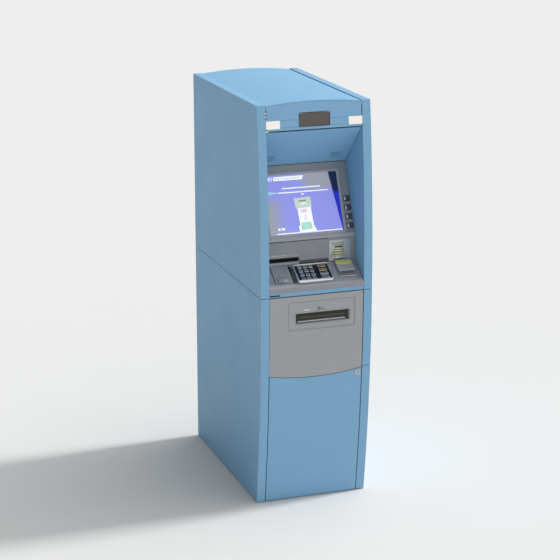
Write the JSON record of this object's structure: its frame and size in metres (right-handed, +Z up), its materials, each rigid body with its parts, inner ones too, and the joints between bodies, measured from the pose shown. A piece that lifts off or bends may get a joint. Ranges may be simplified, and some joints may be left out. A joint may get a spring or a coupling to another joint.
{
  "type": "atm machine",
  "caption": "Free-standing cash machine with a bowed blue cabinet, a sloping screen over a keypad console, a cash mouth, and a lower door in front of a safe",
  "frame": {"origin": "middle of the footprint, on the floor", "axes": "+X to the right as the user sees it, +Y towards the rear, +Z up; the user's side faces -Y"},
  "size_m": [0.406, 0.767, 1.428],
  "materials": {
    "blue_paint": "satin powder coat, light blue",
    "panel_grey": "satin grey paint",
    "fascia_grey": "fine-grained grey moulding",
    "console_grey": "fine-grained dark grey moulding",
    "white_lens": "white diffusing lens",
    "dark_window": "smoked acrylic",
    "screen_glass": "display glass",
    "black_plastic": "black moulding",
    "key_steel": "brushed metal key",
    "function_key": "dark grey key",
    "safe_paint": "textured dark grey paint",
    "zinc_steel": "zinc-plated steel",
    "chrome": "polished chrome",
    "lock_white": "white lock ring",
    "cassette_plastic": "dark grey note box"
  },
  "bodies": {
    "base": {"safe_body": "safe_paint", "lower_left_side_panel": "blue_paint", "lower_right_side_panel": "blue_paint", "middle_right_side_panel": "blue_paint", "lower_rear_panel": "blue_paint", "dispenser_panel": "panel_grey", "dispenser_bezel": "panel_grey", "dispenser_unit": "black_plastic", "cash_cassettes": "cassette_plastic", "head_rails": "zinc_steel"},
    "head": {"upper_left_side_panel": "blue_paint", "upper_right_side_panel": "blue_paint", "top_cover": "blue_paint", "header_panel": "blue_paint", "header_lamps": "white_lens", "header_window": "dark_window", "soffit_panel": "blue_paint", "screen_fascia": "fascia_grey", "display_unit": "black_plastic", "display_glass": "screen_glass", "console_shelf": "console_grey", "keypad_housing": "black_plastic", "card_reader": "console_grey", "contactless_pad": "fascia_grey", "receipt_printer": "black_plastic", "pc_core": "black_plastic", "head_frame": "blue_paint", "head_rear_panel": "blue_paint", "power_inlet": "black_plastic"},
    "cash_shutter": {"cash_shutter": "black_plastic"},
    "lower_door": {"lower_door": "blue_paint"},
    "lower_door_lock": {"lower_door_lock": "lock_white"},
    "safe_door": {"safe_door": "safe_paint"},
    "safe_bolt_bar": {"safe_bolt_bar": "zinc_steel"},
    "safe_handle": {"safe_handle": "chrome"},
    "safe_dial": {"safe_dial": "black_plastic"},
    "function_key_left_1": {"function_key_left_1": "function_key"},
    "function_key_left_2": {"function_key_left_2": "function_key"},
    "function_key_left_3": {"function_key_left_3": "function_key"},
    "function_key_left_4": {"function_key_left_4": "function_key"},
    "function_key_right_1": {"function_key_right_1": "function_key"},
    "function_key_right_2": {"function_key_right_2": "function_key"},
    "function_key_right_3": {"function_key_right_3": "function_key"},
    "function_key_right_4": {"function_key_right_4": "function_key"},
    "keypad_key_1_1": {"keypad_key_1_1": "key_steel"},
    "keypad_key_1_2": {"keypad_key_1_2": "key_steel"},
    "keypad_key_1_3": {"keypad_key_1_3": "key_steel"},
    "keypad_key_1_4": {"keypad_key_1_4": "key_steel"},
    "keypad_key_2_1": {"keypad_key_2_1": "key_steel"},
    "keypad_key_2_2": {"keypad_key_2_2": "key_steel"},
    "keypad_key_2_3": {"keypad_key_2_3": "key_steel"},
    "keypad_key_2_4": {"keypad_key_2_4": "key_steel"},
    "keypad_key_3_1": {"keypad_key_3_1": "key_steel"},
    "keypad_key_3_2": {"keypad_key_3_2": "key_steel"},
    "keypad_key_3_3": {"keypad_key_3_3": "key_steel"},
    "keypad_key_3_4": {"keypad_key_3_4": "key_steel"},
    "keypad_key_4_1": {"keypad_key_4_1": "key_steel"},
    "keypad_key_4_2": {"keypad_key_4_2": "key_steel"},
    "keypad_key_4_3": {"keypad_key_4_3": "key_steel"},
    "keypad_key_4_4": {"keypad_key_4_4": "key_steel"}
  },
  "joints": [
    {"name": "head_slide", "type": "slide", "parent": "base", "child": "head", "axis": [0, -1, 0], "range_m": [0, 0.35]},
    {"name": "shutter_slide", "type": "slide", "parent": "base", "child": "cash_shutter", "axis": [0, 0, -1], "range_m": [0, 0.041]},
    {"name": "lower_door_hinge", "type": "hinge", "parent": "base", "child": "lower_door", "pos_m": [-0.1443, -0.36593, 0.443], "axis": [0, 0, -1], "range_deg": [0, 110]},
    {"name": "lower_door_lock_turn", "type": "hinge", "parent": "lower_door", "child": "lower_door_lock", "pos_m": [0.15507, -0.37543, 0.463], "axis": [0, -1, 0], "range_deg": [0, 90]},
    {"name": "safe_door_hinge", "type": "hinge", "parent": "base", "child": "safe_door", "pos_m": [-0.1, -0.27, 0.258], "axis": [0, 0, -1], "range_deg": [0, 88]},
    {"name": "safe_handle_turn", "type": "hinge", "parent": "safe_door", "child": "safe_handle", "pos_m": [0.078, -0.262, 0.258], "axis": [0, -1, 0], "range_deg": [0, 60]},
    {"name": "safe_bolt_slide", "type": "slide", "parent": "safe_door", "child": "safe_bolt_bar", "axis": [1, 0, 0], "range_m": [0, 0.016]},
    {"name": "safe_dial_turn", "type": "hinge", "parent": "safe_door", "child": "safe_dial", "pos_m": [0.078, -0.262, 0.345], "axis": [0, -1, 0], "continuous": true},
    {"name": "function_key_left_1_press", "type": "slide", "parent": "head", "child": "function_key_left_1", "axis": [0, 0.9166, -0.3998], "range_m": [0, 0.002], "stiffness_N_per_m": 500, "springref_m": -0.001},
    {"name": "function_key_left_2_press", "type": "slide", "parent": "head", "child": "function_key_left_2", "axis": [0, 0.9166, -0.3998], "range_m": [0, 0.002], "stiffness_N_per_m": 500, "springref_m": -0.001},
    {"name": "function_key_left_3_press", "type": "slide", "parent": "head", "child": "function_key_left_3", "axis": [0, 0.9166, -0.3998], "range_m": [0, 0.002], "stiffness_N_per_m": 500, "springref_m": -0.001},
    {"name": "function_key_left_4_press", "type": "slide", "parent": "head", "child": "function_key_left_4", "axis": [0, 0.9166, -0.3998], "range_m": [0, 0.002], "stiffness_N_per_m": 500, "springref_m": -0.001},
    {"name": "function_key_right_1_press", "type": "slide", "parent": "head", "child": "function_key_right_1", "axis": [0, 0.9166, -0.3998], "range_m": [0, 0.002], "stiffness_N_per_m": 500, "springref_m": -0.001},
    {"name": "function_key_right_2_press", "type": "slide", "parent": "head", "child": "function_key_right_2", "axis": [0, 0.9166, -0.3998], "range_m": [0, 0.002], "stiffness_N_per_m": 500, "springref_m": -0.001},
    {"name": "function_key_right_3_press", "type": "slide", "parent": "head", "child": "function_key_right_3", "axis": [0, 0.9166, -0.3998], "range_m": [0, 0.002], "stiffness_N_per_m": 500, "springref_m": -0.001},
    {"name": "function_key_right_4_press", "type": "slide", "parent": "head", "child": "function_key_right_4", "axis": [0, 0.9166, -0.3998], "range_m": [0, 0.002], "stiffness_N_per_m": 500, "springref_m": -0.001},
    {"name": "keypad_key_1_1_press", "type": "slide", "parent": "head", "child": "keypad_key_1_1", "axis": [0, 0.5129, -0.8585], "range_m": [0, 0.002], "stiffness_N_per_m": 500, "springref_m": -0.001},
    {"name": "keypad_key_1_2_press", "type": "slide", "parent": "head", "child": "keypad_key_1_2", "axis": [0, 0.5129, -0.8585], "range_m": [0, 0.002], "stiffness_N_per_m": 500, "springref_m": -0.001},
    {"name": "keypad_key_1_3_press", "type": "slide", "parent": "head", "child": "keypad_key_1_3", "axis": [0, 0.5129, -0.8585], "range_m": [0, 0.002], "stiffness_N_per_m": 500, "springref_m": -0.001},
    {"name": "keypad_key_1_4_press", "type": "slide", "parent": "head", "child": "keypad_key_1_4", "axis": [0, 0.5129, -0.8585], "range_m": [0, 0.002], "stiffness_N_per_m": 500, "springref_m": -0.001},
    {"name": "keypad_key_2_1_press", "type": "slide", "parent": "head", "child": "keypad_key_2_1", "axis": [0, 0.5129, -0.8585], "range_m": [0, 0.002], "stiffness_N_per_m": 500, "springref_m": -0.001},
    {"name": "keypad_key_2_2_press", "type": "slide", "parent": "head", "child": "keypad_key_2_2", "axis": [0, 0.5129, -0.8585], "range_m": [0, 0.002], "stiffness_N_per_m": 500, "springref_m": -0.001},
    {"name": "keypad_key_2_3_press", "type": "slide", "parent": "head", "child": "keypad_key_2_3", "axis": [0, 0.5129, -0.8585], "range_m": [0, 0.002], "stiffness_N_per_m": 500, "springref_m": -0.001},
    {"name": "keypad_key_2_4_press", "type": "slide", "parent": "head", "child": "keypad_key_2_4", "axis": [0, 0.5129, -0.8585], "range_m": [0, 0.002], "stiffness_N_per_m": 500, "springref_m": -0.001},
    {"name": "keypad_key_3_1_press", "type": "slide", "parent": "head", "child": "keypad_key_3_1", "axis": [0, 0.5129, -0.8585], "range_m": [0, 0.002], "stiffness_N_per_m": 500, "springref_m": -0.001},
    {"name": "keypad_key_3_2_press", "type": "slide", "parent": "head", "child": "keypad_key_3_2", "axis": [0, 0.5129, -0.8585], "range_m": [0, 0.002], "stiffness_N_per_m": 500, "springref_m": -0.001},
    {"name": "keypad_key_3_3_press", "type": "slide", "parent": "head", "child": "keypad_key_3_3", "axis": [0, 0.5129, -0.8585], "range_m": [0, 0.002], "stiffness_N_per_m": 500, "springref_m": -0.001},
    {"name": "keypad_key_3_4_press", "type": "slide", "parent": "head", "child": "keypad_key_3_4", "axis": [0, 0.5129, -0.8585], "range_m": [0, 0.002], "stiffness_N_per_m": 500, "springref_m": -0.001},
    {"name": "keypad_key_4_1_press", "type": "slide", "parent": "head", "child": "keypad_key_4_1", "axis": [0, 0.5129, -0.8585], "range_m": [0, 0.002], "stiffness_N_per_m": 500, "springref_m": -0.001},
    {"name": "keypad_key_4_2_press", "type": "slide", "parent": "head", "child": "keypad_key_4_2", "axis": [0, 0.5129, -0.8585], "range_m": [0, 0.002], "stiffness_N_per_m": 500, "springref_m": -0.001},
    {"name": "keypad_key_4_3_press", "type": "slide", "parent": "head", "child": "keypad_key_4_3", "axis": [0, 0.5129, -0.8585], "range_m": [0, 0.002], "stiffness_N_per_m": 500, "springref_m": -0.001},
    {"name": "keypad_key_4_4_press", "type": "slide", "parent": "head", "child": "keypad_key_4_4", "axis": [0, 0.5129, -0.8585], "range_m": [0, 0.002], "stiffness_N_per_m": 500, "springref_m": -0.001}
  ],
  "couplings": [
    {"joint": "safe_door_hinge", "follows": "lower_door_hinge", "ratio": 0.8},
    {"joint": "safe_bolt_slide", "follows": "safe_handle_turn", "m_per_rad": 0.015279}
  ]
}
